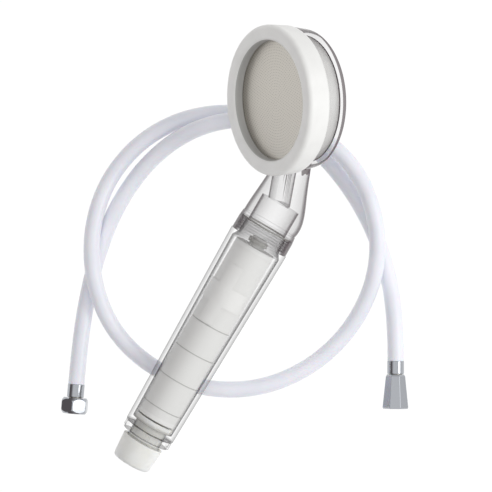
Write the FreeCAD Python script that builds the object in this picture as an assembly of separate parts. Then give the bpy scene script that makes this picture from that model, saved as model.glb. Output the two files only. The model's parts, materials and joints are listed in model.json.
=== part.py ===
"""Handheld filter shower head with its hose.

The handset is a clear head on a clear screw-on handle that holds a white filter
cartridge. It lies across a loop of white hose with a swivel nut at each end.
Millimetres, +Z up. The origin is the centre of the handset's inlet end, and +X runs
up the handle towards the head.
"""
import FreeCAD, Part
import math
import os

V = FreeCAD.Vector
os.makedirs("parts", exist_ok=True)

# ---- how the handset lies ----
lay_tilt = 4.0                # the head end is up, because it lies on two strands of hose
lay_roll = 40.2               # the spray face is turned up from the table by this much
rest_gap = 0.8                # between the handle and the hose under it

# ---- clearances ----
moving_gap = 0.3              # between pieces that move past each other
thread_gap = 0.4              # from a male thread's crests to the female wall round them
close_fit = 0.05              # on the radius of a spigot in its hole
cartridge_gap = 0.5           # round the cartridge at the narrow end of its tube
cut_over = 1.0                # how far a cutting tool runs past the piece that it cuts

# ---- inlet ----
spigot_length = 15.6          # the threaded stretch outside the collar
spigot_radius = 10.48         # G 1/2 male thread, major diameter 20.955
spigot_thread_depth = 1.18
spigot_pitch = 1.814
spigot_lead = 0.4             # plain stretch before the first ridge
spigot_bore = 7.2
spigot_flange = 2.5
spigot_flange_width = 2.12    # how far the flange stands out from the spigot
spigot_flange_gap = 0.8       # round the flange, inside the tube
seal_thickness = 1.0
collar_relief = 1.6           # plain stretch between the thread and the collar
collar_length = 4.7
collar_lugs = 10
lug_width = 3.0
lug_height = 4.0
lug_step = 0.8                # the lugs start this far above the collar's lower end
cap_length = 15.6
cap_overhang = 1.0            # how far the cap's end stands beyond the spigot
cap_end_wall = 0.7
cap_fit = 0.52                # from the spigot's crests to the cap's bore
cap_wall_end = 0.9
cap_wall_mouth = 2.15
strainer_depth = 1.2
strainer_thickness = 0.8
strainer_rim = 1.5
strainer_hole = 0.55
strainer_rings = 3

# ---- handle tube ----
tube_length = 133.4
tube_wall = 2.6
tube_widening = 2.96          # how much larger its radius is at the shoulder than at the inlet
tube_floor = 4.1
tube_foot_round = 1.2
ledge_drop = 4.0              # the bore narrows to the thread's bore over this length
handle_thread_length = 8.7
handle_thread_pitch = 1.6
handle_thread_depth = 0.9
handle_thread_wall = 1.8
handle_thread_lead = 0.6

collar_start = spigot_length + collar_relief
tube_start = collar_start + collar_length
shoulder_x = tube_start + tube_length          # top of the wide part, where the skirt lands
spigot_root = spigot_radius - spigot_thread_depth
spigot_flange_radius = spigot_radius + spigot_flange_width
tube_radius_start = spigot_flange_radius + spigot_flange_gap + tube_wall
tube_radius_shoulder = tube_radius_start + tube_widening
collar_radius = tube_radius_start - 1.3
collar_lug_radius = tube_radius_start - 0.1
spigot_flange_start = tube_start + tube_floor + seal_thickness
spigot_flange_end = spigot_flange_start + spigot_flange
cap_bore = spigot_radius + cap_fit

# ---- filter cartridge ----
cartridge_seal_stand = 0.5    # how far the lower seal stands out of the cartridge
cartridge_floor_gap = 0.4
cartridge_top_gap = 3.9       # from the cartridge's shoulder to the tube's
cartridge_wall = 1.2
cartridge_end_cap = 3.0
cartridge_bands = 4
band_width = 0.6
band_depth = 0.25
band_first = 5.3              # from the sleeve's lower end to the first band
band_last = 0.7               # from the last band to the raised cross
boss_rise = 0.5
boss_length = 39.3
boss_below_top = 11.6         # from the top of the cross to the sleeve's upper end
boss_width = 9.3
belt_above_boss = 12.9        # from the foot of the cross to its belt
belt_length = 12.7
belt_width = 32.0
cross_angle = 32.0            # round the cartridge from the face side
media_gap = 0.4
core_radius = 3.4
core_wall = 1.0
nozzle_radius = 5.0
nozzle_length = 6.0
nozzle_bore = 2.6
cartridge_seal_cord = 1.3     # diameter of the rubber cord
bottom_seal_radius = 7.0

cartridge_radius = tube_radius_start - tube_wall - cartridge_gap
cartridge_start = spigot_flange_end + cartridge_seal_stand + cartridge_floor_gap
cartridge_end = shoulder_x - cartridge_top_gap
shell_start = cartridge_start + cartridge_end_cap
shell_end = cartridge_end - cartridge_end_cap
boss_start = shell_end - boss_below_top - boss_length
handle_thread_bore = cartridge_radius + boss_rise + cartridge_gap
handle_thread_root = handle_thread_bore + handle_thread_wall
handle_thread_crest = handle_thread_root + handle_thread_depth

# ---- head ----
face_low_x = 35.89            # lower edge of the ring's front, beyond the tube's shoulder
face_low_forward = 29.54      # and in front of the handle's axis
face_tilt = 26.19             # the face looks this far down the handle
ring_radius = 45.0
ring_taper = 1.0              # how much smaller its radius is at the back
ring_depth = 14.3
ring_rim = 9.6                # width of the ring's front face
ring_wall = 2.1
ring_round = 3.0
plate_recess = 6.6
plate_thickness = 0.6
plate_gasket_thickness = 1.2
plate_gasket_width = 2.3
plate_hole = 0.4
plate_hole_rings = 4
plate_hole_margin = 3.0
head_depth = 29.6
head_taper = 2.8              # how much smaller the head's back is than the ring's back
head_back_round = 3.5
head_back_wall = 3.2
head_wall = 2.6
ring_thread_depth = 0.9
ring_thread_pitch = 2.5
oring_cord = 1.4
oring_groove = 0.4            # how far its groove is cut below the thread's root
oring_before_step = 1.0
diffuser_depth = 17.0
diffuser_thickness = 1.6
diffuser_wall = 1.6
diffuser_gap = 0.2
diffuser_hole = 1.5
diffuser_rings = 3
diffuser_margin = 8.0

ring_radius_back = ring_radius - ring_taper
ring_opening = ring_radius - ring_rim
ring_thread_crest = ring_radius_back - ring_wall - thread_gap
ring_thread_root = ring_thread_crest - ring_thread_depth
plate_radius = ring_thread_crest - 1.0
head_cavity = ring_thread_root - head_wall
head_radius_back = ring_radius_back - head_taper
oring_along = ring_depth - oring_before_step
tilt = math.radians(face_tilt)
face_x = shoulder_x + face_low_x + ring_radius * math.cos(tilt)
face_forward = face_low_forward + ring_radius * math.sin(tilt)

# ---- neck ----
skirt_wall = 1.5
skirt_top_narrowing = 0.7
skirt_length = 12.5
skirt_line = 8.9              # from the skirt's mouth to the line round it
line_width = 0.6
line_depth = 0.4
neck_chamber = 12.6
neck_chamber_length = 26.3    # above the tube's shoulder
passage_radius = 7.0
passage_start_forward = 1.0
passage_into_head = 4.8       # how far behind the diffuser the water way comes in
passage_above_wall = 9.0      # and how far above the cavity's lower wall
# Round sections of the neck: past the top of the skirt, forward of the axis, radius.
neck_sections = [(12.4, 0.0, 16.9), (23.5, 2.4, 14.2), (39.5, 6.8, 11.0), (56.5, 20.0, 6.5)]

skirt_radius = handle_thread_crest + thread_gap + skirt_wall
skirt_top_radius = skirt_radius - skirt_top_narrowing
skirt_start = shoulder_x + moving_gap
skirt_end = skirt_start + skirt_length
neck_chamber_start = shoulder_x + handle_thread_length + seal_thickness + moving_gap
neck_chamber_end = shoulder_x + neck_chamber_length

# ---- hose ----
hose_diameter = 10.0
ferrule_radius = 5.2
ferrule_length = 8.0
ferrule_edge = 0.4
insert_radius = 4.0
insert_bore = 2.6
insert_flange = 1.2
nut_bore = 5.9
nut_seat_step = 0.3           # the washer's seat is this much narrower than the thread
washer_gap = 0.1
washer_thickness = 1.6
hex_nut_wall = 1.7            # from the thread to a flat
hex_nut_length = 9.8
hex_nut_back_wall = 1.6
hex_nut_waist = 0.6           # how far its round ends dip below the flats
hex_nut_corner_trim = 0.18    # how much the barrel trims off the six corners
hex_nut_shoulder = 2.16       # length of each rounded end
hex_nut_shoulder_round = 2.0
cone_nut_wall = 2.6
cone_nut_back_radius = 6.4
cone_nut_length = 21.0
cone_nut_back_wall = 9.0
cone_nut_facets = 8
# Edges of the conical nut: how far from its end, and how far in.
cone_nut_back_edge = (1.2, 0.8)
cone_nut_front_edge = (0.8, 0.4)

nut_seat = nut_bore - nut_seat_step
insert_flange_radius = nut_seat - moving_gap
nut_start = ferrule_length + moving_gap

HANDSET = FreeCAD.Placement(V(0, 0, 0), FreeCAD.Rotation(V(0, 1, 0), -lay_tilt).multiply(
    FreeCAD.Rotation(V(1, 0, 0), lay_roll)))
# Along the face axis, +X runs from the front of the ring to the back of the head.
FACE = FreeCAD.Placement(V(face_x, face_forward, 0), FreeCAD.Rotation(V(0, 0, 1), face_tilt - 90))


def save(name, shape):
    """Write one sub-part; its solids have to be closed."""
    assert shape.isValid() and shape.Solids, name
    shape.exportStep("parts/%s.step" % name)


def moved(shape, placement):
    """A copy of a piece, carried to a placement."""
    copy = shape.copy()
    copy.Placement = placement.multiply(copy.Placement)
    return copy


def save_handset(name, shape):
    """Lay a piece, which is built upright round the handle axis, as the handset lies."""
    save(name, moved(shape, HANDSET))


def rounded_edges(points, radii, closed):
    """Straight runs between the points, with a tangent arc of its own radius at each point."""
    edges = []
    last = None
    count = len(points)
    for i in range(count + 1 if closed else count):
        here = points[i % count]
        radius = radii[i % count]
        start = end = here
        if radius > 0:
            back = (points[i % count - 1] - here).normalize()
            ahead = (points[(i + 1) % count] - here).normalize()
            half = back.getAngle(ahead) / 2
            middle = (back + ahead).normalize()
            start = here + back * (radius / math.tan(half))
            end = here + ahead * (radius / math.tan(half))
            crown = here + middle * (radius / math.sin(half) - radius)
        if last is not None and (start - last).Length > 1e-6:
            edges.append(Part.LineSegment(last, start).toShape())
        if radius > 0 and i < count:
            edges.append(Part.Arc(start, crown, end).toShape())
        last = end
    return edges


def turned(outline, rounds=None):
    """A solid of revolution round X, from (along, radius) points and rounds by point number."""
    points = [V(along, radius, 0) for along, radius in outline]
    radii = [(rounds or {}).get(i, 0) for i in range(len(points))]
    face = Part.Face(Part.Wire(rounded_edges(points, radii, True)))
    return face.revolve(V(0, 0, 0), V(1, 0, 0), 360)


def rod(start, end, radius):
    return Part.makeCylinder(radius, end - start, V(start, 0, 0), V(1, 0, 0))


def pipe(start, end, outer, inner):
    return rod(start, end, outer).cut(rod(start - cut_over, end + cut_over, inner))


def cord_ring(along, radius, cord):
    """A rubber ring of round cord whose middle line has this radius."""
    return Part.makeTorus(radius, cord / 2, V(along, 0, 0), V(1, 0, 0))


# Where a thread ridge's flanks start and end, as shares of the pitch.
ridge_foot, ridge_top, ridge_top_end, ridge_foot_end = 0.15, 0.40, 0.60, 0.85


def thread_outline(start, end, pitch, crest, root):
    """Points of a row of ridges that stands for a thread, from start to end."""
    points = [(start, root)]
    for i in range(int((end - start) / pitch)):
        ridge = start + i * pitch
        points += [(ridge + ridge_foot * pitch, root), (ridge + ridge_top * pitch, crest),
                   (ridge + ridge_top_end * pitch, crest), (ridge + ridge_foot_end * pitch, root)]
    points.append((end, root))
    return points


def ring_holes(rings, spacing, radius, start, end, half_step=False):
    """Round holes on circles; each circle has six more than the one inside it."""
    holes = []
    for ring_number in range(1, rings + 1):
        count = 6 * ring_number
        for i in range(count):
            angle = 2 * math.pi * (i + (0.5 if half_step else 0)) / count
            reach = ring_number * spacing
            foot = V(start - cut_over, reach * math.cos(angle), reach * math.sin(angle))
            holes.append(Part.makeCylinder(radius, end - start + 2 * cut_over, foot, V(1, 0, 0)))
    return holes


def on_face(shape):
    """Move a piece built round the X axis to the axis of the spray face."""
    return moved(shape, FACE)


def tube_radius(along):
    """Outside radius of the tapered handle tube."""
    share = (along - tube_start) / tube_length
    return tube_radius_start + share * (tube_radius_shoulder - tube_radius_start)


# ==== handle ====
def handle_tube():
    """Clear tapered tube with a floor at the inlet and a threaded collar at the top."""
    floor_top = tube_start + tube_floor
    thread_top = shoulder_x + handle_thread_length
    ledge = shoulder_x - ledge_drop
    hole = spigot_radius + close_fit
    thread = thread_outline(shoulder_x + handle_thread_lead, thread_top, handle_thread_pitch,
                            handle_thread_crest, handle_thread_root)
    outline = [(tube_start, hole), (tube_start, tube_radius(tube_start))]
    outline += [(shoulder_x, tube_radius_shoulder), (shoulder_x, handle_thread_root)]
    outline += thread
    outline += [(thread_top, handle_thread_bore), (shoulder_x, handle_thread_bore)]
    outline += [(ledge, tube_radius(ledge) - tube_wall)]
    outline += [(floor_top, tube_radius(floor_top) - tube_wall), (floor_top, hole)]
    return turned(outline, {1: tube_foot_round})


def inlet_collar():
    """Clear ring with lugs under the tube, which grip the spigot."""
    ring = pipe(collar_start, tube_start, collar_radius, spigot_radius + close_fit)
    lug_start = collar_start + lug_step
    for i in range(collar_lugs):
        lug = Part.makeBox(tube_start - lug_start, lug_width, lug_height,
                           V(lug_start, -lug_width / 2, collar_lug_radius - lug_height))
        lug = lug.common(rod(collar_start, tube_start, collar_lug_radius))
        lug.rotate(V(0, 0, 0), V(1, 0, 0), i * 360 / collar_lugs)
        ring = ring.fuse(lug)
    return ring.removeSplitter()


def inlet_spigot():
    """Milky inlet with a G 1/2 thread outside and a flange inside the tube."""
    outline = [(0, spigot_bore), (0, spigot_root)]
    outline += thread_outline(spigot_lead, spigot_length, spigot_pitch, spigot_radius, spigot_root)
    outline += [(spigot_length, spigot_radius), (spigot_flange_start, spigot_radius)]
    outline += [(spigot_flange_start, spigot_flange_radius)]
    outline += [(spigot_flange_end, spigot_flange_radius), (spigot_flange_end, spigot_bore)]
    return turned(outline)


def spigot_seal():
    return pipe(tube_start + tube_floor, spigot_flange_start, spigot_flange_radius,
                spigot_radius + close_fit)


def inlet_strainer():
    """Round strainer pressed into the mouth of the inlet."""
    end = strainer_depth + strainer_thickness
    spacing = (spigot_bore - strainer_rim) / strainer_rings
    holes = ring_holes(strainer_rings, spacing, strainer_hole, strainer_depth, end)
    return rod(strainer_depth, end, spigot_bore).cut(holes)


def neck_seal():
    start = shoulder_x + handle_thread_length
    return pipe(start, start + seal_thickness, handle_thread_root - 0.2, handle_thread_bore + 0.1)


def inlet_cap():
    """Soft cap that is pulled off the inlet thread before the hose goes on."""
    start = -cap_overhang
    mouth = start + cap_length
    floor_inside = start + cap_end_wall
    outline = [(start, 0), (start, cap_bore + cap_wall_end), (mouth, cap_bore + cap_wall_mouth),
               (mouth, cap_bore), (floor_inside, cap_bore), (floor_inside, 0)]
    return turned(outline, {1: 2.2, 2: 0.5})


# ==== filter cartridge ====
def sector(start, end, middle, width):
    """Part of a raised band on the cartridge: its middle's angle and its width round it."""
    inner = cartridge_radius - cartridge_wall / 2
    outer = cartridge_radius + boss_rise
    corners = [V(start, inner, 0), V(end, inner, 0), V(end, outer, 0), V(start, outer, 0),
               V(start, inner, 0)]
    face = Part.Face(Part.makePolygon(corners))
    span = math.degrees(width / cartridge_radius)
    face.rotate(V(0, 0, 0), V(1, 0, 0), middle - span / 2)
    return face.revolve(V(0, 0, 0), V(1, 0, 0), span)


def cartridge_shell():
    """White sleeve with shallow bands and a raised cross on it."""
    sleeve = pipe(shell_start, shell_end, cartridge_radius, cartridge_radius - cartridge_wall)
    first = shell_start + band_first
    spacing = (boss_start - band_last - first) / (cartridge_bands - 1)
    for i in range(cartridge_bands):
        start = first + i * spacing - band_width / 2
        sleeve = sleeve.cut(pipe(start, start + band_width, cartridge_radius + 1,
                                 cartridge_radius - band_depth))
    belt_start = boss_start + belt_above_boss
    strip = sector(boss_start, boss_start + boss_length, cross_angle, boss_width)
    belt = sector(belt_start, belt_start + belt_length, cross_angle, belt_width)
    return sleeve.fuse([strip, belt]).removeSplitter()


def cartridge_media():
    return pipe(shell_start, shell_end, cartridge_radius - cartridge_wall - media_gap, core_radius)


def cartridge_core():
    return pipe(shell_start, shell_end, core_radius, core_radius - core_wall)


def cartridge_top_cap():
    """End cap with a short nozzle that the clean water leaves through."""
    nozzle_end = cartridge_end + nozzle_length
    outline = [(shell_end, nozzle_bore), (shell_end, cartridge_radius),
               (cartridge_end, cartridge_radius), (cartridge_end, nozzle_radius),
               (nozzle_end, nozzle_radius), (nozzle_end, nozzle_bore)]
    return turned(outline, {2: 0.8, 4: 0.4})


def cartridge_bottom_cap():
    """Flat end cap with a hole that the water comes in through."""
    return turned([(cartridge_start, nozzle_bore), (cartridge_start, cartridge_radius),
                   (shell_start, cartridge_radius), (shell_start, nozzle_bore)], {1: 0.8})


def cartridge_top_seal():
    middle = cartridge_end + nozzle_length / 2
    return pipe(middle - cartridge_seal_cord, middle + cartridge_seal_cord,
                nozzle_radius + cartridge_seal_cord, nozzle_radius)


def cartridge_bottom_seal():
    return pipe(cartridge_start - cartridge_seal_stand, cartridge_start, bottom_seal_radius + 1,
                bottom_seal_radius - 1)


# ==== head ====
def circle(along, forward, radius):
    return Part.Wire(Part.makeCircle(radius, V(along, forward, 0), V(1, 0, 0)))


def passage(extra=0.0):
    """The water way from the neck's chamber into the head."""
    start = V(neck_chamber_end - cut_over, passage_start_forward, 0)
    end = FACE.multVec(V(diffuser_depth + passage_into_head, passage_above_wall - head_cavity, 0))
    return Part.makeCylinder(passage_radius + extra, (end - start).Length, start, end - start)


def skirt_and_neck():
    """Skirt round the handle's thread, with a fine line on it, and the neck above it."""
    line = skirt_start + skirt_line
    rim = line_width / 2
    outline = [(skirt_start, 0), (skirt_start, skirt_radius), (line - rim, skirt_radius - 0.1),
               (line, skirt_radius - 0.1 - line_depth), (line + rim, skirt_radius - 0.2),
               (skirt_end - rim, skirt_top_radius + 0.1), (skirt_end, skirt_top_radius - line_depth),
               (skirt_end + rim, 0)]
    circles = [circle(skirt_end - 0.1, 0, skirt_top_radius - 0.2)]
    circles += [circle(skirt_end + past, forward, radius) for past, forward, radius in neck_sections]
    return turned(outline).fuse(Part.makeLoft(circles, True, False))


def head_shell():
    """Clear head, neck and skirt in one moulding."""
    step = ring_depth + moving_gap
    thread_start = plate_recess + plate_thickness + plate_gasket_thickness + moving_gap
    outline = [(thread_start, 0)]
    outline += thread_outline(thread_start, thread_start + 2 * ring_thread_pitch + 0.1,
                              ring_thread_pitch, ring_thread_crest, ring_thread_root)
    outline += [(step, ring_thread_root), (step, ring_radius_back - 0.3),
                (head_depth, head_radius_back), (head_depth, 0)]
    disc = on_face(turned(outline, {len(outline) - 2: head_back_round}))
    cavity = on_face(rod(thread_start - cut_over, head_depth - head_back_wall, head_cavity))
    groove = on_face(pipe(oring_along - oring_cord / 2, oring_along + oring_cord / 2,
                          ring_thread_crest + 1, ring_thread_root - oring_groove))
    shell = skirt_and_neck().fuse(disc).cut(cavity).cut(groove)
    shell = shell.cut(rod(skirt_start - cut_over, neck_chamber_start,
                          handle_thread_crest + thread_gap))
    shell = shell.cut(rod(neck_chamber_start - cut_over, neck_chamber_end, neck_chamber))
    return shell.cut(passage()).removeSplitter()


def front_ring():
    """White screw ring that holds the spray plate."""
    lip = plate_recess - moving_gap
    bore = ring_thread_crest + thread_gap
    outline = [(0, ring_opening), (0, ring_radius), (ring_depth, ring_radius_back),
               (ring_depth, bore), (lip, bore), (lip, ring_opening)]
    return on_face(turned(outline, {0: ring_round, 1: ring_round}))


def spray_plate():
    """Thin stainless plate; its finest holes are left out."""
    end = plate_recess + plate_thickness
    spacing = (ring_opening - plate_hole_margin) / plate_hole_rings
    holes = ring_holes(plate_hole_rings, spacing, plate_hole, plate_recess, end)
    return on_face(rod(plate_recess, end, plate_radius).cut(holes))


def plate_gasket():
    start = plate_recess + plate_thickness
    return on_face(pipe(start, start + plate_gasket_thickness, plate_radius,
                        plate_radius - plate_gasket_width))


def head_oring():
    return on_face(cord_ring(oring_along, ring_thread_root - oring_groove + oring_cord / 2,
                             oring_cord))


def diffuser_disc():
    """White cup inside the head that spreads the water behind the spray plate."""
    outer = head_cavity - diffuser_gap
    end = head_depth - head_back_wall
    floor_end = diffuser_depth + diffuser_thickness
    cup = rod(diffuser_depth, end, outer).cut(rod(floor_end, end + cut_over, outer - diffuser_wall))
    spacing = (head_cavity - diffuser_margin) / diffuser_rings
    holes = ring_holes(diffuser_rings, spacing, diffuser_hole, diffuser_depth, floor_end, True)
    return on_face(cup.cut(holes)).cut(passage(1.0))


# ==== hose ====
strand_under_handle = 58.5    # where the loop passes under the handle, along its axis
handle_underside = (strand_under_handle * math.sin(math.radians(lay_tilt))
                    - tube_radius(strand_under_handle) / math.cos(math.radians(lay_tilt)))
floor = handle_underside - rest_gap - hose_diameter

# Corners of the hose's route: along, across, and how high it is lifted off the floor.
# The loop climbs over itself behind the head and once on its way back to the hex nut.
hose_route = [
    (23.0, 53.0, 3.9), (41.0, 61.5, 3.5), (70.0, 73.5, 0.0), (102.5, 83.0, 0.0),
    (136.5, 87.0, 0.0), (170.5, 82.0, 1.0), (199.5, 66.0, 11.0), (220.5, 38.5, 11.0),
    (230.5, 5.5, 11.0), (224.5, -28.5, 10.5), (203.0, -56.0, 12.0), (173.5, -73.0, 9.0),
    (140.0, -77.0, 0.0), (107.0, -68.5, 0.0), (78.5, -48.5, 0.0), (60.0, -19.5, 0.0),
    (54.0, 14.5, 0.0), (61.0, 48.0, 4.0), (81.5, 74.5, 12.5), (110.0, 93.0, 7.0),
    (143.0, 100.0, 0.0), (177.0, 92.5, 0.0), (204.5, 72.0, 0.0), (222.0, 42.0, 0.0),
    (224.5, 7.5, 0.0), (215.0, -25.5, 0.0), (198.5, -55.5, 0.0), (176.5, -80.5, 0.0),
    (151.0, -99.5, 3.5), (133.5, -109.5, 3.9)]
lying = floor + hose_diameter / 2
route = [V(along, across, lying + lift) for along, across, lift in hose_route]


def route_radii():
    """At each corner 0.45 of the shorter run, divided by the tangent of half the turn."""
    radii = [0.0]
    for i in range(1, len(route) - 1):
        before = route[i] - route[i - 1]
        after = route[i + 1] - route[i]
        shorter = min(before.Length, after.Length)
        radii.append(0.45 * shorter / math.tan(before.getAngle(after) / 2))
    return radii + [0.0]


def hose_tube():
    """The hose as one plain round solid along its route."""
    edges = rounded_edges(route, route_radii(), False)
    spine = Part.Wire(edges)
    section = Part.Wire(Part.makeCircle(hose_diameter / 2, route[0], route[1] - route[0]))
    tube = spine.makePipeShell([section], True, True)
    print("hose radii", [round(radius) for radius in route_radii()])
    share = tube.Volume / (math.pi * hose_diameter ** 2 / 4 * spine.Length)
    print("hose length %.1f, volume share %.4f" % (spine.Length, share))
    return tube


def hose_end(end, before):
    """Placement whose +X leaves the hose straight out of one of its ends."""
    return FreeCAD.Placement(end, FreeCAD.Rotation(V(1, 0, 0), end - before))


HEX_END = hose_end(route[0], route[1])
CONE_END = hose_end(route[-1], route[-2])


def ferrule():
    """Chromed sleeve pressed on the end of the hose."""
    return turned([(0, insert_radius), (0, ferrule_radius), (ferrule_length, ferrule_radius),
                   (ferrule_length, insert_radius)], {1: ferrule_edge, 2: ferrule_edge})


def flange_place(back_wall):
    """Where the insert's flange starts, behind the back wall of its nut."""
    return nut_start + back_wall + moving_gap


def washer_place(back_wall):
    return flange_place(back_wall) + insert_flange + washer_gap


def nut_thread_start(back_wall):
    return washer_place(back_wall) + washer_thickness


def hose_insert(back_wall):
    """Brass tail inside the ferrule; its flange holds the swivel nut."""
    flange = flange_place(back_wall)
    return turned([(0, insert_bore), (0, insert_radius), (flange, insert_radius),
                   (flange, insert_flange_radius), (flange + insert_flange, insert_flange_radius),
                   (flange + insert_flange, insert_bore)])


def nut_hollow(length, back_wall):
    """What is cut out of a swivel nut: its back hole, the washer's seat and the threaded bore."""
    seat_start = nut_start + back_wall
    hole = rod(nut_start - cut_over, seat_start + cut_over, insert_radius + moving_gap)
    seat = rod(seat_start, nut_thread_start(back_wall) + cut_over, nut_seat)
    bore = rod(nut_thread_start(back_wall), nut_start + length + cut_over, nut_bore)
    return hole.fuse([seat, bore])


def polygon(along, corner_radius, corners):
    points = []
    for i in range(corners + 1):
        angle = 2 * math.pi * (i + 0.5) / corners
        points.append(V(along, corner_radius * math.cos(angle), corner_radius * math.sin(angle)))
    return Part.makePolygon(points)


def hex_nut():
    """Six-sided swivel nut with a barrel's rounded ends."""
    end = nut_start + hex_nut_length
    flat = nut_bore + hex_nut_wall
    corner = flat / math.cos(math.pi / 6)
    prism = Part.Face(polygon(nut_start, corner, 6)).extrude(V(hex_nut_length, 0, 0))
    barrel = turned([(nut_start, 0), (nut_start, flat - hex_nut_waist),
                     (nut_start + hex_nut_shoulder, corner - hex_nut_corner_trim),
                     (end - hex_nut_shoulder, corner - hex_nut_corner_trim),
                     (end, flat - hex_nut_waist), (end, 0)],
                    {2: hex_nut_shoulder_round, 3: hex_nut_shoulder_round})
    return prism.common(barrel).cut(nut_hollow(hex_nut_length, hex_nut_back_wall))


def cone_nut():
    """Long faceted swivel nut that widens to its mouth."""
    front = nut_bore + cone_nut_wall
    back_length, back_in = cone_nut_back_edge
    front_length, front_in = cone_nut_front_edge
    sections = [(0, cone_nut_back_radius - back_in), (back_length, cone_nut_back_radius),
                (cone_nut_length - front_length, front), (cone_nut_length, front - front_in)]
    wires = [polygon(nut_start + along, radius, cone_nut_facets) for along, radius in sections]
    return Part.makeLoft(wires, True, True).cut(nut_hollow(cone_nut_length, cone_nut_back_wall))


def hose_washer(back_wall):
    start = washer_place(back_wall)
    return pipe(start, start + washer_thickness, nut_seat - washer_gap, insert_bore + 0.4)


# ==== hand out the pieces ====
if __name__ == "__main__":
    for piece in (handle_tube, inlet_collar, inlet_spigot, spigot_seal, inlet_strainer, neck_seal,
                  inlet_cap, cartridge_shell, cartridge_media, cartridge_core, cartridge_top_cap,
                  cartridge_bottom_cap, cartridge_top_seal, cartridge_bottom_seal, head_shell,
                  front_ring, spray_plate, plate_gasket, head_oring, diffuser_disc):
        save_handset(piece.__name__, piece())
    save("hose_tube", hose_tube())
    for end_name, nut, back_wall, place in (("hex", hex_nut, hex_nut_back_wall, HEX_END),
                                            ("cone", cone_nut, cone_nut_back_wall, CONE_END)):
        save(end_name + "_end_ferrule", moved(ferrule(), place))
        save(end_name + "_end_insert", moved(hose_insert(back_wall), place))
        save(end_name + "_nut", moved(nut(), place))
        save(end_name + "_nut_washer", moved(hose_washer(back_wall), place))
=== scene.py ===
import json
import math
import bmesh
import bpy
from mathutils import Matrix, Vector


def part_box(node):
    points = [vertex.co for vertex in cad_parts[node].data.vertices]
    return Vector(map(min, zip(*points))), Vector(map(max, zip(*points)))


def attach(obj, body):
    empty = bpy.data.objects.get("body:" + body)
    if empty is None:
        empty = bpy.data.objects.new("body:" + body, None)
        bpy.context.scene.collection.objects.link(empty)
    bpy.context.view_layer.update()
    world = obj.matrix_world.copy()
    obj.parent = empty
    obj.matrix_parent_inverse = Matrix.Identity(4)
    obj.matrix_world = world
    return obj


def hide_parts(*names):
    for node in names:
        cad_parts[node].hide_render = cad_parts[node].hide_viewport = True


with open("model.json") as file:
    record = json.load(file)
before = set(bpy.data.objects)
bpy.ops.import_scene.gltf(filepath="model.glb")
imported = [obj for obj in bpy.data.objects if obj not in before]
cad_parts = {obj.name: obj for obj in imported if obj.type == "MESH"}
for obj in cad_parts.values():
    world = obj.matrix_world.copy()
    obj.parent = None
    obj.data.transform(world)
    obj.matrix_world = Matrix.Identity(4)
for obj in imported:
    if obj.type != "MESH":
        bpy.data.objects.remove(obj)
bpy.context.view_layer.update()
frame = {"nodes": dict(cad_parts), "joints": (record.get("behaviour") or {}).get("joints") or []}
mm = 0.001

# ==== Camera ====
# The handset and its hose lie on a table and are seen from straight above,
# from far enough that hardly any perspective shows.
camera_height = 1.5819
camera_over = (0.1485, 0.0053)
camera_turn = math.radians(-59.95)

camera_data = bpy.data.cameras.new("camera")
camera_data.lens = 190.3
camera_data.sensor_width = 36.0
camera_data.clip_end = 20.0
camera = bpy.data.objects.new("camera", camera_data)
camera.location = (camera_over[0], camera_over[1], camera_height)
camera.rotation_euler = (0.0, 0.0, camera_turn)
bpy.context.scene.collection.objects.link(camera)
bpy.context.scene.camera = camera
bpy.context.scene.view_settings.view_transform = "Standard"


# ==== Room and light ====
# A white light table under a soft dome that is bright overhead and darker at the horizon,
# as with dark cards set round the table: the cards draw the edges of the chrome.
def linear(hex_colour):
    """An sRGB hex value as linear RGBA."""
    channels = [int(hex_colour[i:i + 2], 16) / 255 for i in (1, 3, 5)]
    return [c / 12.92 if c <= 0.04045 else ((c + 0.055) / 1.055) ** 2.4 for c in channels] + [1.0]


def add_node(tree, kind, settings=None, links=None):
    """Add a node; settings go to its sockets or properties, links bring other nodes' outputs in."""
    made = tree.nodes.new(kind)
    for name, value in (settings or {}).items():
        if isinstance(name, int) or name in made.inputs:
            made.inputs[name].default_value = value
        else:
            setattr(made, name, value)
    for name, output in (links or {}).items():
        tree.links.new(output, made.inputs[name])
    return made


floor_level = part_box("hose_tube")[0][2]
dome_low, dome_low_height = "#787273", 0.06
dome_high, dome_high_height = "#FFFFFF", 0.60
dome_strength = 1.0
dome_top = Vector((0.21, -0.37, 0.905)).normalized()    # the brightest point, leaning to one side

world = bpy.data.worlds.new("studio")
bpy.context.scene.world = world
world.use_nodes = True
sky = world.node_tree
sky.nodes.clear()
direction = add_node(sky, "ShaderNodeTexCoord")
height = add_node(sky, "ShaderNodeVectorMath", {"operation": "DOT_PRODUCT", 1: dome_top},
                  {0: direction.outputs["Generated"]})
dome = add_node(sky, "ShaderNodeValToRGB", links={0: height.outputs["Value"]})
dome.color_ramp.interpolation = "EASE"
dome.color_ramp.elements[0].position = dome_low_height
dome.color_ramp.elements[0].color = linear(dome_low)
dome.color_ramp.elements[1].position = dome_high_height
dome.color_ramp.elements[1].color = linear(dome_high)
background = add_node(sky, "ShaderNodeBackground", {"Strength": dome_strength}, {"Color": dome.outputs[0]})
add_node(sky, "ShaderNodeOutputWorld", links={"Surface": background.outputs[0]})

soft_box = bpy.data.lights.new("side_box", "AREA")
soft_box.size = 0.6
soft_box.energy = 3.5
soft_box_place = Vector((0.75, -0.9, 0.9))
soft_box_aim = Vector((0.15, 0.0, 0.0))
side_box = bpy.data.objects.new("side_box", soft_box)
side_box.location = soft_box_place
side_box.rotation_euler = (soft_box_aim - soft_box_place).to_track_quat("-Z", "Y").to_euler()
bpy.context.scene.collection.objects.link(side_box)

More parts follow.
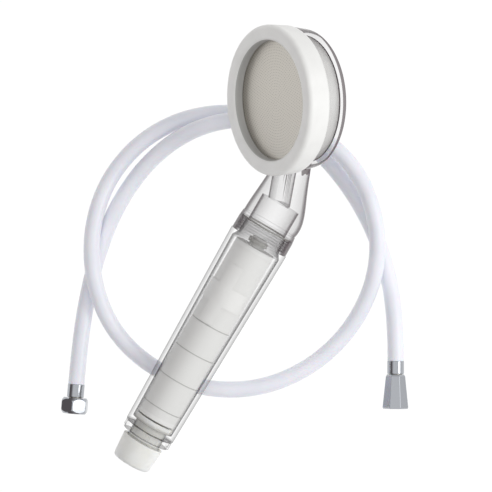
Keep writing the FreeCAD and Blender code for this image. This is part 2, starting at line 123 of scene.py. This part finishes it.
half_floor = 1.5
floor_mesh = bpy.data.meshes.new("floor")
floor_mesh.from_pydata([(x * half_floor, y * half_floor, floor_level)
                        for x, y in ((-1, -1), (1, -1), (1, 1), (-1, 1))], [], [(0, 1, 2, 3)])
floor = bpy.data.objects.new("floor", floor_mesh)
bpy.context.scene.collection.objects.link(floor)


def new_material(name, colour, ior=1.5, roughness=0.4, metallic=0.0):
    """A material with one Principled shader; returns it, its tree and the shader."""
    made = bpy.data.materials.new(name)
    made.use_nodes = True
    shader = made.node_tree.nodes["Principled BSDF"]
    shader.inputs["Base Color"].default_value = linear(colour)
    shader.inputs["IOR"].default_value = ior
    shader.inputs["Roughness"].default_value = roughness
    shader.inputs["Metallic"].default_value = metallic
    return made, made.node_tree, shader


# Opal glass lit from below: it glows evenly and takes no shadow.
opal_glow = 1.03
opal, _, opal_shader = new_material("opal_light_table", "#000000", roughness=0.9)
opal_shader.inputs["Specular IOR Level"].default_value = 0.0
opal_shader.inputs["Emission Color"].default_value = linear("#FFFFFF")
opal_shader.inputs["Emission Strength"].default_value = opal_glow
floor_mesh.materials.append(opal)

# ==== Hose ====
# Extruded white PVC hose with a smooth skin. It lies in one loop, crosses over itself
# behind the head, and is free at both ends.
hose_diameter = 10 * mm
lying = floor_level + hose_diameter / 2
hose_route = [
    (23.0, 53.0, 3.9), (41.0, 61.5, 3.5), (70.0, 73.5, 0.0), (102.5, 83.0, 0.0),
    (136.5, 87.0, 0.0), (170.5, 82.0, 1.0), (199.5, 66.0, 11.0), (220.5, 38.5, 11.0),
    (230.5, 5.5, 11.0), (224.5, -28.5, 10.5), (203.0, -56.0, 12.0), (173.5, -73.0, 9.0),
    (140.0, -77.0, 0.0), (107.0, -68.5, 0.0), (78.5, -48.5, 0.0), (60.0, -19.5, 0.0),
    (54.0, 14.5, 0.0), (61.0, 48.0, 4.0), (81.5, 74.5, 12.5), (110.0, 93.0, 7.0),
    (143.0, 100.0, 0.0), (177.0, 92.5, 0.0), (204.5, 72.0, 0.0), (222.0, 42.0, 0.0),
    (224.5, 7.5, 0.0), (215.0, -25.5, 0.0), (198.5, -55.5, 0.0), (176.5, -80.5, 0.0),
    (151.0, -99.5, 3.5), (133.5, -109.5, 3.9)]

hose_curve = bpy.data.curves.new("hose", "CURVE")
hose_curve.dimensions = "3D"
spline = hose_curve.splines.new("NURBS")
spline.points.add(len(hose_route) - 1)
for point, (along, across, lift) in zip(spline.points, hose_route):
    point.co = (along * mm, across * mm, lying + lift * mm, 1.0)
spline.order_u = 3
spline.use_endpoint_u = True
spline.resolution_u = 16
hose_curve.bevel_depth = hose_diameter / 2
hose_curve.bevel_resolution = 10
hose_curve.use_fill_caps = True
hose = bpy.data.objects.new("hose", hose_curve)
bpy.context.scene.collection.objects.link(hose)


def grain(tree, shader, size_mm, depth_mm, roughness, spread, stretch=(1, 1, 1)):
    """Fine relief of one grain size, with the gloss changing a little over it."""
    place = add_node(tree, "ShaderNodeTexCoord")
    scaled = add_node(tree, "ShaderNodeMapping", {"Scale": stretch}, {"Vector": place.outputs["Object"]})
    noise = add_node(tree, "ShaderNodeTexNoise", {"Scale": 1 / (size_mm * mm), "Detail": 3.0},
                     {"Vector": scaled.outputs[0]})
    bump = add_node(tree, "ShaderNodeBump", {"Strength": 1.0, "Distance": depth_mm * mm},
                    {"Height": noise.outputs[0]})
    tree.links.new(bump.outputs[0], shader.inputs["Normal"])
    gloss = add_node(tree, "ShaderNodeMapRange", {"To Min": roughness - spread, "To Max": roughness + spread},
                     {"Value": noise.outputs[0]})
    tree.links.new(gloss.outputs[0], shader.inputs["Roughness"])
    return place


def tone(tree, shader, place, low, high, size_mm, detail=2.0):
    """Slow change of colour between two near shades, as a moulding or a skin has."""
    cloud = add_node(tree, "ShaderNodeTexNoise", {"Scale": 1 / (size_mm * mm), "Detail": detail},
                     {"Vector": place.outputs["Object"]})
    shades = add_node(tree, "ShaderNodeValToRGB", links={0: cloud.outputs[0]})
    shades.color_ramp.elements[0].position = 0.35
    shades.color_ramp.elements[0].color = linear(low)
    shades.color_ramp.elements[1].position = 0.65
    shades.color_ramp.elements[1].color = linear(high)
    tree.links.new(shades.outputs[0], shader.inputs["Base Color"])


# Plasticised PVC: IOR 1.53, soft gloss, a little light passes into the skin.
pvc, pvc_tree, pvc_shader = new_material("white_pvc_extruded", "#EEF0F8", ior=1.53)
pvc_shader.inputs["Subsurface Weight"].default_value = 0.15
pvc_shader.inputs["Subsurface Scale"].default_value = 2 * mm
pvc_place = grain(pvc_tree, pvc_shader, 1.2, 0.01, 0.33, 0.04)
tone(pvc_tree, pvc_shader, pvc_place, "#E6E8F0", "#EBECF4", 18)
hose_curve.materials.append(pvc)


# ==== Ferrules and swivel nuts ====
# Brass, turned and milled, then chrome plated. A ferrule is pressed on each end of the hose;
# its insert's flange holds a nut that turns freely, one six-sided, one a long faceted cone.
weld_gap = 0.001 * mm               # corners closer than this are one corner
cut_gap = 0.0001 * mm               # corners closer than this to a cut lie on it
flat_within = math.radians(1)       # faces that meet at less than this are one flat face


def finished(node, body, material, sharp_degrees=30.0, crease=0.0, cuts=()):
    """A smooth-shaded copy of a CAD piece, shown in its place.

    crease rounds its sharp edges by so many mm; cuts are planes that split its faces.
    """
    mesh = frame["nodes"][node].data.copy()
    mesh.name = node + "_finished"
    made = bpy.data.objects.new(node + "_finished", mesh)
    bpy.context.scene.collection.objects.link(made)
    weld = bmesh.new()
    weld.from_mesh(mesh)
    bmesh.ops.remove_doubles(weld, verts=weld.verts, dist=weld_gap)
    if crease:
        bmesh.ops.dissolve_limit(weld, angle_limit=flat_within, verts=weld.verts, edges=weld.edges)
    for point, normal in cuts:
        bmesh.ops.bisect_plane(weld, geom=weld.verts[:] + weld.edges[:] + weld.faces[:], dist=cut_gap,
                               plane_co=point, plane_no=normal)
    weld.to_mesh(mesh)
    weld.free()
    if "custom_normal" in mesh.attributes:
        mesh.attributes.remove(mesh.attributes["custom_normal"])
    mesh.shade_smooth()
    mesh.set_sharp_from_angle(angle=math.radians(sharp_degrees))
    mesh.materials.clear()
    mesh.materials.append(material)
    if crease:
        bevel = made.modifiers.new("edges", "BEVEL")
        bevel.width = crease * mm
        bevel.segments = 2
        bevel.limit_method = "ANGLE"
        bevel.angle_limit = math.radians(sharp_degrees)
        bevel.harden_normals = True
    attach(made, body)
    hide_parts(node)
    return made


def dress(node, material):
    """Give a CAD piece its finished material."""
    target = frame["nodes"][node]
    target.data.materials.clear()
    target.data.materials.append(material)


# Chrome over brass: mirror gloss, a cool grey, with faint polishing waves.
chrome, chrome_tree, chrome_shader = new_material("polished_chrome_plate", "#AEB1B6", metallic=1.0)
grain(chrome_tree, chrome_shader, 3.0, 0.004, 0.10, 0.03)
nut_pieces = [finished("hex_end_ferrule", "hose", chrome),
              finished("cone_end_ferrule", "hose", chrome),
              finished("hex_nut", "hex_nut", chrome, 22.0),
              finished("cone_nut", "cone_nut", chrome, 12.0, 0.25)]

# Turned brass with fine grain, taken to be nickel flashed, as no yellow shows beside the chrome.
nickel, nickel_tree, nickel_shader = new_material("nickel_flashed_brass", "#A5A299", metallic=1.0)
grain(nickel_tree, nickel_shader, 0.4, 0.01, 0.3, 0.06)
dress("hex_end_insert", nickel)
dress("cone_end_insert", nickel)

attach(hose, "hose")
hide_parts("hose_tube")

# ==== Seals ====
# Moulded silicone rings and washers, soft and matt. Nearly all are hidden inside.
rubber, rubber_tree, rubber_shader = new_material("moulded_silicone", "#C9C8C4", ior=1.41)
grain(rubber_tree, rubber_shader, 0.6, 0.02, 0.6, 0.08)
for name in ("hex_nut_washer", "cone_nut_washer", "plate_gasket", "spigot_seal",
             "neck_seal", "cartridge_top_seal", "cartridge_bottom_seal"):
    dress(name, rubber)

# ==== Inlet ====
# Milky polyethylene spigot with the hose thread, a stainless strainer in its mouth, and the
# soft cap that is pushed over the thread for the shelf.
milky, milky_tree, milky_shader = new_material("milky_polyethylene", "#EEEEEA", ior=1.51)
milky_shader.inputs["Subsurface Weight"].default_value = 0.6
milky_shader.inputs["Subsurface Radius"].default_value = (1.0, 0.95, 0.85)
milky_shader.inputs["Subsurface Scale"].default_value = 3 * mm
milky_place = grain(milky_tree, milky_shader, 0.8, 0.02, 0.42, 0.06)
tone(milky_tree, milky_shader, milky_place, "#E9E9E4", "#F1F1ED", 9)
finished("inlet_spigot", "handle", milky)
finished("inlet_cap", "inlet_cap", milky)

steel, steel_tree, steel_shader = new_material("satin_stainless", "#C4C0B8", metallic=1.0)
grain(steel_tree, steel_shader, 0.5, 0.004, 0.36, 0.05, (1, 1, 14))
dress("inlet_strainer", steel)

# ==== Filter cartridge ====
# White ABS sleeve with shallow bands and a raised cross, closed by two end caps round a
# pressed fibre filling on a core tube.
joints = {joint["name"]: joint for joint in frame["joints"]}
up_handle = -Vector(joints["filter_draw"]["axis"])
handle_point = Vector(joints["handle_unscrew"]["pos_m"])


def outward(polygon):
    """How far a face looks away from the handle's axis: 1 straight out, -1 straight in."""
    offset = polygon.center - handle_point
    return (offset - offset.dot(up_handle) * up_handle).normalized().dot(polygon.normal)


def split_faces(piece, *parts):
    """Give the faces that a test picks another material; the first test that fits counts."""
    for material, _ in parts:
        piece.data.materials.append(material)
    for polygon in piece.data.polygons:
        for i, (_, chosen) in enumerate(parts, start=1):
            if chosen(polygon):
                polygon.material_index = i
                break


abs_white, abs_tree, abs_shader = new_material("white_abs_moulding", "#ECECEA", ior=1.54)
abs_place = grain(abs_tree, abs_shader, 0.5, 0.008, 0.42, 0.05)
tone(abs_tree, abs_shader, abs_place, "#EAEAE8", "#EFEFED", 14)
# The bands and the walls of the cross are the same ABS. They are drawn darker as painted
# shade, because relief this shallow hardly shows by its own shadow.
relief_painted_shade, relief_tree, relief_shader = new_material("white_abs_relief_painted_shade", "#BEBEBB", ior=1.54)
grain(relief_tree, relief_shader, 0.2, 0.02, 0.6, 0.05)
# The sleeve is the same ABS too, drawn a shade greyer so that the cross stands out.
abs_sleeve, sleeve_tree, sleeve_shader = new_material("white_abs_sleeve", "#E7E7E5", ior=1.54)
grain(sleeve_tree, sleeve_shader, 0.4, 0.01, 0.55, 0.05)
band_floor = 12.75 * mm             # between the bands' floors and the sleeve's own radius
cross_foot = 13.1 * mm              # between the sleeve's own radius and the cross's top
sleeve_facing = 0.6                 # a face that looks less far out than this is a wall


def from_axis(polygon):
    """A face's distance from the handle's axis."""
    return (polygon.center - handle_point).cross(up_handle).length


def on_relief(polygon):
    """True for the floors and walls of the bands, and for the walls of the cross."""
    facing = outward(polygon)
    return abs(facing) < sleeve_facing or facing > 0 and from_axis(polygon) < band_floor


split_faces(finished("cartridge_shell", "filter", abs_sleeve),
            (relief_painted_shade, on_relief),
            (abs_white, lambda polygon: from_axis(polygon) > cross_foot))
finished("cartridge_top_cap", "filter", abs_white)
finished("cartridge_bottom_cap", "filter", abs_white)
dress("cartridge_core", abs_white)

fibre, fibre_tree, fibre_shader = new_material("pressed_fibre", "#E4E3DD", roughness=0.85)
grain(fibre_tree, fibre_shader, 0.3, 0.05, 0.85, 0.05)
dress("cartridge_media", fibre)


# ==== Handle tube and collar ====
# Injection-moulded clear polycarbonate, polished. Looked through square on, it nearly
# vanishes; where a wall is seen edge on, the long way through it shows as a dark line.
def clear_plastic(name, colour, square_on, slanting, steep, edge_on, specular):
    """Clear moulding, which lets light through and whose walls darken towards their edges.

    Four shares say how much a wall hides, from one seen square on to one seen edge on.
    """
    made, tree, shader = new_material(name, colour, ior=1.585, roughness=0.06)
    grain(tree, shader, 5.0, 0.004, 0.06, 0.03)
    shader.inputs["Specular IOR Level"].default_value = specular
    slant = add_node(tree, "ShaderNodeLayerWeight", {"Blend": 0.5})
    share = add_node(tree, "ShaderNodeValToRGB", links={0: slant.outputs["Facing"]})
    ramp = share.color_ramp
    stops = ((0.0, square_on), (0.45, slanting), (0.72, steep), (0.92, edge_on))
    while len(ramp.elements) < len(stops):
        ramp.elements.new(0.5)
    for stop, (place, amount) in zip(ramp.elements, stops):
        stop.position = place
        stop.color = (amount, amount, amount, 1.0)
    tree.links.new(share.outputs[0], shader.inputs["Alpha"])
    return made


step_slope = 0.35                   # how far a face must lean along the handle to be a step


def on_a_step(polygon):
    """True for shoulders, thread flanks and end faces, which throw the light aside."""
    return abs(polygon.normal.dot(up_handle)) > step_slope


# The step tone hides more than the outside does, even seen square on: painted shade, for the light that the
# steps throw aside.
tube_clear = clear_plastic("clear_polycarbonate_outside", "#5C595A", 0.01, 0.03, 0.28, 0.85, 0.2)
bore_clear = clear_plastic("clear_polycarbonate_bore", "#2E2B2C", 0.01, 0.03, 0.60, 1.0, 0.1)
step_clear = clear_plastic("clear_polycarbonate_step", "#4A4547", 0.10, 0.34, 0.60, 0.95, 0.2)
for name in ("handle_tube", "inlet_collar"):
    split_faces(finished(name, "handle", tube_clear),
                (step_clear, on_a_step), (bore_clear, lambda polygon: outward(polygon) < 0))

# ==== Head, neck and skirt ====
# One clear polycarbonate moulding. A real neck this thick throws light back as dark smoky
# patches; here its walls are only darker where seen edge on, and the rounded back edge is
# painted dark all over, as painted shade for the dark surroundings that the real edge bends into view.
face_centre = Vector(joints["ring_unscrew"]["pos_m"])
face_out = Vector(joints["ring_unscrew"]["axis"])
head_clear = clear_plastic("clear_polycarbonate_head", "#6B6264", 0.03, 0.06, 0.25, 0.90, 0.2)
neck_clear = clear_plastic("clear_polycarbonate_neck", "#4E3F44", 0.04, 0.20, 0.80, 0.97, 0.2)
# The back rim's dark tone, which hides most of what lies behind even seen square on, is painted shade.
rim_painted_shade = clear_plastic("clear_polycarbonate_rim_painted_shade", "#4A3B40", 0.70, 0.82, 0.92, 0.97, 0.2)
neck_reach = 45.5 * mm              # just past the head, from the spray face's axis
neck_step_facing = 0.8              # a neck face that looks straighter out than this is no step
rim_depth = 25.5 * mm               # where the back's rounding starts, behind the spray face
rim_reach = 34 * mm                 # where it ends, on the flat back
rim_facing = 0.97                   # a face that looks straighter back than this is flat


def from_face(polygon):
    """A face's depth behind the spray face, and its reach from the spray face's axis."""
    offset = polygon.center - face_centre
    depth = -offset.dot(face_out)
    return depth, (offset + depth * face_out).length


def on_neck(polygon):
    """True for the thick neck between the skirt and the head."""
    return from_face(polygon)[1] > neck_reach


def on_back_rim(polygon):
    """True for the rounded edge round the head's back."""
    depth, reach = from_face(polygon)
    return (depth > rim_depth and rim_reach < reach < neck_reach
            and abs(polygon.normal.dot(face_out)) < rim_facing)


def on_neck_step(polygon):
    """True for the steps inside the skirt and the neck."""
    return on_neck(polygon) and on_a_step(polygon) and outward(polygon) < neck_step_facing


head_cuts = ((face_centre - rim_depth * face_out, face_out),)
split_faces(finished("head_shell", "handset", head_clear, cuts=head_cuts),
            (step_clear, on_neck_step), (neck_clear, on_neck), (rim_painted_shade, on_back_rim))
finished("diffuser_disc", "handset", abs_white)

# The O-ring that seals the screw ring is black nitrile; it shows as a dark line behind the ring.
nitrile, nitrile_tree, nitrile_shader = new_material("black_nitrile", "#3A3638", ior=1.52)
grain(nitrile_tree, nitrile_shader, 0.4, 0.01, 0.5, 0.06)
dress("head_oring", nitrile)

# ==== Spray plate ====
# Thin satin stainless disc with rings of very fine holes, taken as 0.3 mm. The holes
# are specks painted dark in its face, as painted shade for the dark seen through each hole,
# drawn 0.44 mm wide so that they show at all; each ring has six more of them than the one inside it.
plate_recess = 6.6 * mm             # behind the ring's face
plate_thickness = 0.6 * mm
plate_radius = 40.5 * mm
hole_rings = 21
hole_ring_step = 1.65 * mm
hole_radius = 0.22 * mm
hole_sides = 8
speck_lift = 0.01 * mm              # the specks stand this far off the plate, so that they show
plate_sides = 128

plate_steel, plate_shading, plate_shader = new_material("satin_stainless_plate", "#CFCBC3", metallic=1.0)
grain(plate_shading, plate_shader, 0.5, 0.004, 0.42, 0.05)
# The specks' dark colour is painted shade, for the dark seen through the holes.
hole_painted_shade, hole_shading, hole_shader = new_material("fine_plate_hole_painted_shade", "#6E6A63", roughness=0.8)
grain(hole_shading, hole_shader, 0.1, 0.005, 0.8, 0.05)

plate_nodes = bpy.data.node_groups.new("perforated_plate", "GeometryNodeTree")
plate_inputs = {}
for name, kind in (("Plate Radius", "NodeSocketFloat"), ("Thickness", "NodeSocketFloat"),
                   ("Rings", "NodeSocketInt"), ("Ring Step", "NodeSocketFloat"),
                   ("Hole Radius", "NodeSocketFloat")):
    plate_inputs[name] = plate_nodes.interface.new_socket(name, in_out="INPUT", socket_type=kind).identifier
plate_nodes.interface.new_socket("Geometry", in_out="OUTPUT", socket_type="NodeSocketGeometry")
given = add_node(plate_nodes, "NodeGroupInput").outputs


def sums(operation, first, second=0.0, third=0.0):
    """One step of the sums that place the holes; numbers or other steps go in."""
    step = add_node(plate_nodes, "ShaderNodeMath", {"operation": operation})
    for i, value in enumerate((first, second, third)):
        if isinstance(value, (int, float)):
            step.inputs[i].default_value = value
        else:
            plate_nodes.links.new(value, step.inputs[i])
    return step.outputs[0]


disc = add_node(plate_nodes, "GeometryNodeMeshCylinder", {"Vertices": plate_sides},
                {"Radius": given["Plate Radius"], "Depth": given["Thickness"]})
sunk = add_node(plate_nodes, "ShaderNodeCombineXYZ", links={"Z": sums("MULTIPLY", given["Thickness"], -0.5)})
placed = add_node(plate_nodes, "GeometryNodeTransform", links={"Geometry": disc.outputs[0],
                                                              "Translation": sunk.outputs[0]})
steel_disc = add_node(plate_nodes, "GeometryNodeSetMaterial", {"Material": plate_steel},
                      {"Geometry": placed.outputs[0]})
# Hole 0 is in the middle, and ring k has 6 k holes, so 3 k (k - 1) + 1 holes lie inside it. The
# ring that a hole is on follows from that by the square root, and its turn from its place there.
whole_ring_margin = 0.0001          # keeps the last hole of a ring off the next one
index = add_node(plate_nodes, "GeometryNodeInputIndex").outputs[0]
root = sums("SQRT", sums("MULTIPLY_ADD", index, 12.0, 9.0))
ring = sums("CEIL", sums("MULTIPLY_ADD", root, 1 / 6, -0.5 - whole_ring_margin))
inside = sums("MULTIPLY_ADD", ring, sums("MULTIPLY_ADD", ring, 3.0, -3.0), 1.0)
turn = sums("MULTIPLY", sums("DIVIDE", sums("SUBTRACT", index, inside), ring), math.pi / 3)
reach = sums("MULTIPLY", ring, given["Ring Step"])
spot = add_node(plate_nodes, "ShaderNodeCombineXYZ", {"Z": speck_lift},
                {"X": sums("MULTIPLY", reach, sums("COSINE", turn)),
                 "Y": sums("MULTIPLY", reach, sums("SINE", turn))})
hole_count = sums("MULTIPLY_ADD", given["Rings"], sums("MULTIPLY_ADD", given["Rings"], 3.0, 3.0), 1.0)
spots = add_node(plate_nodes, "GeometryNodePoints", links={"Count": hole_count, "Position": spot.outputs[0]})
speck = add_node(plate_nodes, "GeometryNodeMeshCircle", {"fill_type": "NGON", "Vertices": hole_sides},
                 {"Radius": given["Hole Radius"]})
specks = add_node(plate_nodes, "GeometryNodeInstanceOnPoints",
                  links={"Points": spots.outputs[0], "Instance": speck.outputs[0]})
real_specks = add_node(plate_nodes, "GeometryNodeRealizeInstances", links={0: specks.outputs[0]})
dark_specks = add_node(plate_nodes, "GeometryNodeSetMaterial", {"Material": hole_painted_shade},
                       {"Geometry": real_specks.outputs[0]})
whole = add_node(plate_nodes, "GeometryNodeJoinGeometry", links={0: steel_disc.outputs[0]})
plate_nodes.links.new(dark_specks.outputs[0], whole.inputs[0])
add_node(plate_nodes, "NodeGroupOutput", links={0: whole.outputs[0]})

blank = bpy.data.objects.new("plate_blank", bpy.data.meshes.new("plate_blank"))
bpy.context.scene.collection.objects.link(blank)
punched = blank.modifiers.new("perforated_plate", "NODES")
punched.node_group = plate_nodes
for name, value in (("Plate Radius", plate_radius), ("Thickness", plate_thickness), ("Rings", hole_rings),
                    ("Ring Step", hole_ring_step), ("Hole Radius", hole_radius)):
    punched[plate_inputs[name]] = value
plate_mesh = bpy.data.meshes.new_from_object(blank.evaluated_get(bpy.context.evaluated_depsgraph_get()))
bpy.data.objects.remove(blank)
plate_place = Matrix.Translation(face_centre - plate_recess * face_out)
plate_mesh.transform(plate_place @ face_out.to_track_quat("Z", "Y").to_matrix().to_4x4())
plate = bpy.data.objects.new("perforated_plate", plate_mesh)
bpy.context.scene.collection.objects.link(plate)
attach(plate, "spray_plate")
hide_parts("spray_plate")

# ==== Screw ring ====
# White ABS ring that screws over the head and holds the plate. The wall of its opening lies
# in shadow, and is drawn greyer for that; it is the same ABS.
opening_wall, wall_tree, wall_shader = new_material("white_abs_opening_wall", "#B2B2B0", ior=1.54)
grain(wall_tree, wall_shader, 0.3, 0.01, 0.6, 0.05)
wall_slope = 0.5                    # a face that looks less far forward than this is the wall


def on_opening_wall(polygon):
    """True for the wall of the ring's opening, which looks across at itself."""
    depth, reach = from_face(polygon)
    offset = polygon.center - face_centre
    return (reach < plate_radius and abs(polygon.normal.dot(face_out)) < wall_slope
            and (offset + depth * face_out).dot(polygon.normal) < 0)


split_faces(finished("front_ring", "front_ring", abs_white),
            (opening_wall, on_opening_wall))
